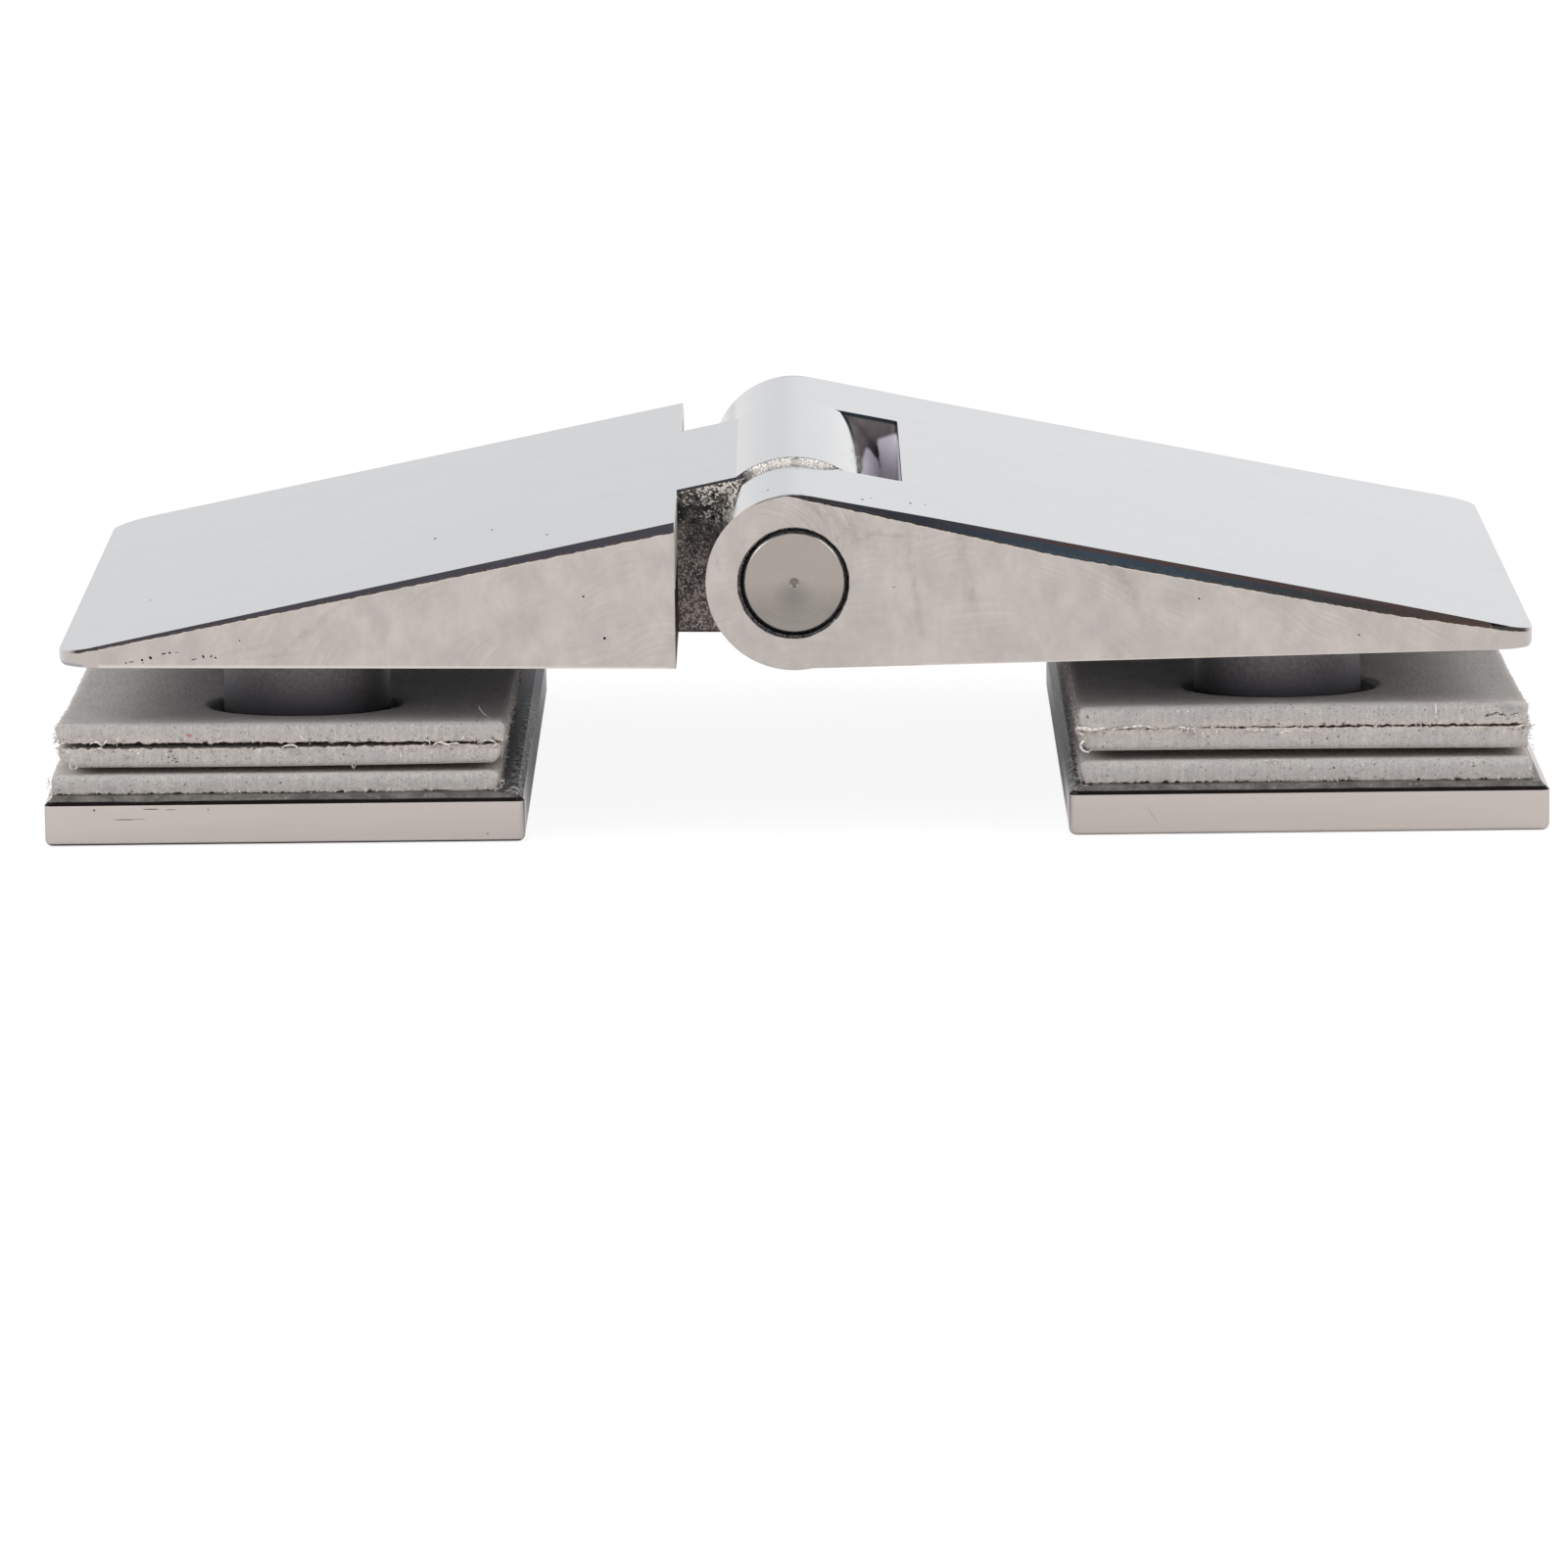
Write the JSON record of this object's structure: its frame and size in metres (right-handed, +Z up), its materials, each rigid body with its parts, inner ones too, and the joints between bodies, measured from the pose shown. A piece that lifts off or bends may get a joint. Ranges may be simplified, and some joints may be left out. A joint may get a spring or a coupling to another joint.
{
  "type": "glass door hinge",
  "caption": "Steel glass-to-glass door hinge: wedge-shaped leaves turn on a plain pin, each with a screwed clamp plate and fibre pads that grip a glass panel.",
  "frame": {"origin": "on the floor under the middle of the hinge pin, with the hinge lying open and flat on its clamp plates", "axes": "+X across the leaves towards the fork leaf's tip, +Y along the hinge pin towards the rear, +Z up away from the clamp plates"},
  "size_m": [0.1532, 0.09, 0.0359],
  "materials": {
    "leaf_steel": "polished, with fine pits and rough cast end faces",
    "plate_steel": "satin, with polished edges and rough cast ends",
    "pin_steel": "turned",
    "screw_steel": "satin",
    "fibre_board": "matte, with frayed cut edges",
    "bearing_plastic": "matte"
  },
  "bodies": {
    "tongue_side": {"tongue_leaf": "leaf_steel", "front_bush": "bearing_plastic", "rear_bush": "bearing_plastic", "front_thrust_washer": "bearing_plastic", "rear_thrust_washer": "bearing_plastic", "tongue_clamp_plate": "plate_steel", "tongue_lower_fibre_pad": "fibre_board", "tongue_middle_fibre_pad": "fibre_board", "tongue_upper_fibre_pad": "fibre_board", "tongue_front_clamp_screw": "screw_steel", "tongue_rear_clamp_screw": "screw_steel"},
    "fork_side": {"fork_leaf": "leaf_steel", "hinge_pin": "pin_steel", "fork_clamp_plate": "plate_steel", "fork_lower_fibre_pad": "fibre_board", "fork_middle_fibre_pad": "fibre_board", "fork_upper_fibre_pad": "fibre_board", "fork_front_clamp_screw": "screw_steel", "fork_rear_clamp_screw": "screw_steel"}
  },
  "joints": [
    {"name": "pin_turn", "type": "hinge", "parent": "tongue_side", "child": "fork_side", "pos_m": [0, 0, 0.0264], "axis": [0, 1, 0], "range_deg": [-115, 90]}
  ]
}
